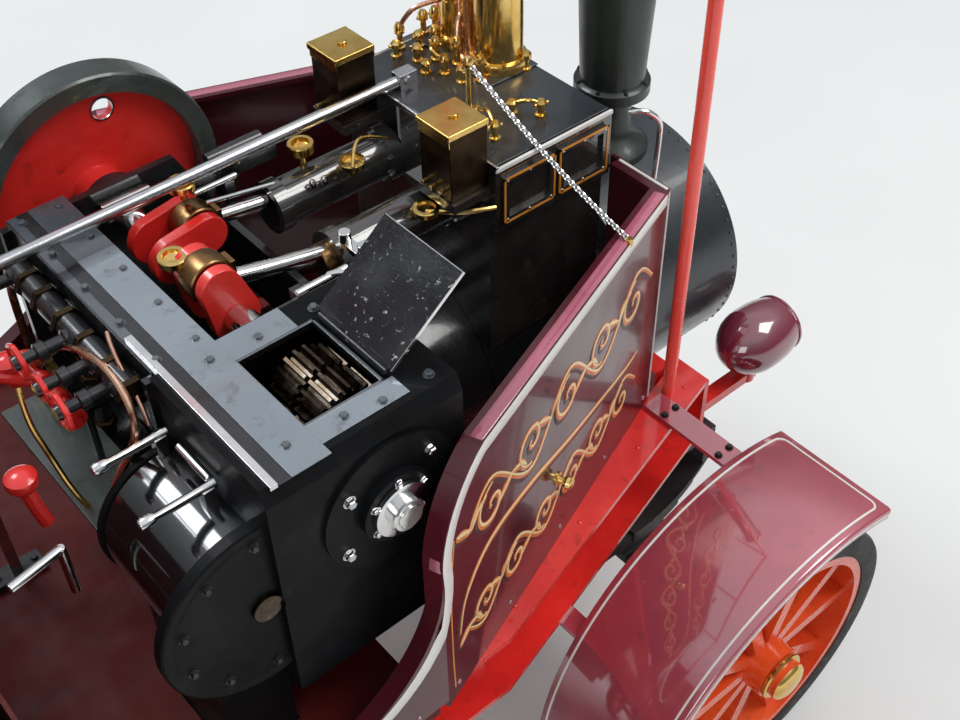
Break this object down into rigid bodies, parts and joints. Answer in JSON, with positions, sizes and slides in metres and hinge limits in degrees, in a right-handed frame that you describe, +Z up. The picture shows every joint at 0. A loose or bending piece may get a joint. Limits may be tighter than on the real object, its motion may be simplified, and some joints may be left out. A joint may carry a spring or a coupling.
{
  "type": "steam lorry",
  "caption": "Miniature overtype steam lorry with an open engine, tall chimney, spoked wheels, broad front mudguards and a long dropside bed; rolls on wheels and steers",
  "frame": {"origin": "centre of the bounding box on the ground", "axes": "+X forward along the length, +Y to the vehicle's left, +Z up"},
  "size_m": [2.061, 0.74, 0.942],
  "materials": {
    "black_paint": "gloss",
    "brass": "polished",
    "chassis_red": "gloss",
    "chimney_black": "satin",
    "iron": "satin",
    "maroon": "gloss",
    "planks": "varnished",
    "rubber": "matt",
    "steel": "polished",
    "wheel_red": "gloss"
  },
  "bodies": {
    "lorry": {"frame_rail_left": "chassis_red", "frame_rail_right": "chassis_red", "cross_members": "chassis_red", "drawbar_jaw": "chassis_red", "front_axle": "iron", "road_springs": "iron", "rear_axle": "iron", "drive_chain": "iron", "boiler_barrel": "black_paint", "firebox": "black_paint", "smokebox": "black_paint", "chimney": "chimney_black", "cylinder_block": "black_paint", "crankshaft": "chassis_red", "connecting_rods": "steel", "flywheel": "wheel_red", "horn_plates": "black_paint", "crank_cover": "black_paint", "gear_case": "black_paint", "gears": "steel", "lubricators": "brass", "safety_valves": "brass", "reversing_gear": "steel", "backhead_fittings": "brass", "gear_levers": "steel", "side_panel_left": "maroon", "side_panel_right": "maroon", "cab_floor": "maroon", "cab_back": "maroon", "driver_seat": "planks", "steering_column": "black_paint", "canopy_frame": "chassis_red", "front_mudguard_left": "maroon", "front_mudguard_right": "maroon", "headlamps": "maroon", "lamp_brackets": "chassis_red", "cab_steps": "black_paint", "water_tank": "black_paint", "bed_bearers": "black_paint", "bed_floor": "planks"},
    "knuckle_left": {"knuckle_left": "iron"},
    "front_wheel_left": {"front_wheel_left": "wheel_red", "front_tyre_left": "rubber"},
    "rear_wheel_left": {"rear_wheel_left": "wheel_red", "rear_tyre_left": "rubber"},
    "side_board_left": {"side_board_left": "planks"},
    "knuckle_right": {"knuckle_right": "iron"},
    "front_wheel_right": {"front_wheel_right": "wheel_red", "front_tyre_right": "rubber"},
    "rear_wheel_right": {"rear_wheel_right": "wheel_red", "rear_tyre_right": "rubber"},
    "side_board_right": {"side_board_right": "planks"},
    "track_rod": {"track_rod": "iron"},
    "steering_wheel": {"steering_wheel": "iron"},
    "tailboard": {"tailboard": "planks"},
    "gear_hatch_lid": {"gear_hatch_lid": "black_paint"},
    "smokebox_door": {"smokebox_door": "black_paint"},
    "firehole_door": {"firehole_door": "black_paint"}
  },
  "joints": [
    {"name": "steer_left", "type": "hinge", "parent": "lorry", "child": "knuckle_left", "pos_m": [0.846, 0.247, 0.144], "axis": [0, 0, 1], "range_deg": [-30, 30]},
    {"name": "steer_right", "type": "hinge", "parent": "lorry", "child": "knuckle_right", "pos_m": [0.846, -0.247, 0.144], "axis": [0, 0, 1], "range_deg": [-31, 31]},
    {"name": "track_rod_pivot", "type": "hinge", "parent": "knuckle_left", "child": "track_rod", "pos_m": [0.776, 0.247, 0.098], "axis": [0, 0, 1], "range_deg": [-31, 31]},
    {"name": "steering_wheel_turn", "type": "hinge", "parent": "lorry", "child": "steering_wheel", "pos_m": [0.31061, 0.19, 0.60057], "axis": [-0.1045, 0, 0.9945], "range_deg": [-245, 245]},
    {"name": "front_left_spin", "type": "hinge", "parent": "knuckle_left", "child": "front_wheel_left", "pos_m": [0.846, 0.3, 0.144], "axis": [0, 1, 0], "continuous": true},
    {"name": "rear_left_spin", "type": "hinge", "parent": "lorry", "child": "rear_wheel_left", "pos_m": [-0.411, 0.307, 0.173], "axis": [0, 1, 0], "continuous": true},
    {"name": "side_board_left_hinge", "type": "hinge", "parent": "lorry", "child": "side_board_left", "pos_m": [-0.396, 0.367, 0.383], "axis": [-1, 0, 0], "range_deg": [0, 175]},
    {"name": "front_right_spin", "type": "hinge", "parent": "knuckle_right", "child": "front_wheel_right", "pos_m": [0.846, -0.3, 0.144], "axis": [0, 1, 0], "continuous": true},
    {"name": "rear_right_spin", "type": "hinge", "parent": "lorry", "child": "rear_wheel_right", "pos_m": [-0.411, -0.307, 0.173], "axis": [0, 1, 0], "continuous": true},
    {"name": "side_board_right_hinge", "type": "hinge", "parent": "lorry", "child": "side_board_right", "pos_m": [-0.396, -0.367, 0.383], "axis": [1, 0, 0], "range_deg": [0, 175]},
    {"name": "tailboard_hinge", "type": "hinge", "parent": "lorry", "child": "tailboard", "pos_m": [-1.028, 0, 0.383], "axis": [0, -1, 0], "range_deg": [0, 175]},
    {"name": "gear_hatch_hinge", "type": "hinge", "parent": "lorry", "child": "gear_hatch_lid", "pos_m": [0.561, -0.156, 0.595], "axis": [0, -1, 0], "range_deg": [0, 142]},
    {"name": "smokebox_door_hinge", "type": "hinge", "parent": "lorry", "child": "smokebox_door", "pos_m": [1.002, 0.109, 0.375], "axis": [0, 0, 1], "range_deg": [0, 80]},
    {"name": "firehole_door_hinge", "type": "hinge", "parent": "lorry", "child": "firehole_door", "pos_m": [0.4413, 0.037, 0.388], "axis": [0, 0, -1], "range_deg": [0, 100]}
  ],
  "couplings": [
    {"joint": "steer_right", "follows": "steer_left", "ratio": 1},
    {"joint": "track_rod_pivot", "follows": "steer_left", "ratio": -1},
    {"joint": "steering_wheel_turn", "follows": "steer_left", "ratio": 8}
  ]
}
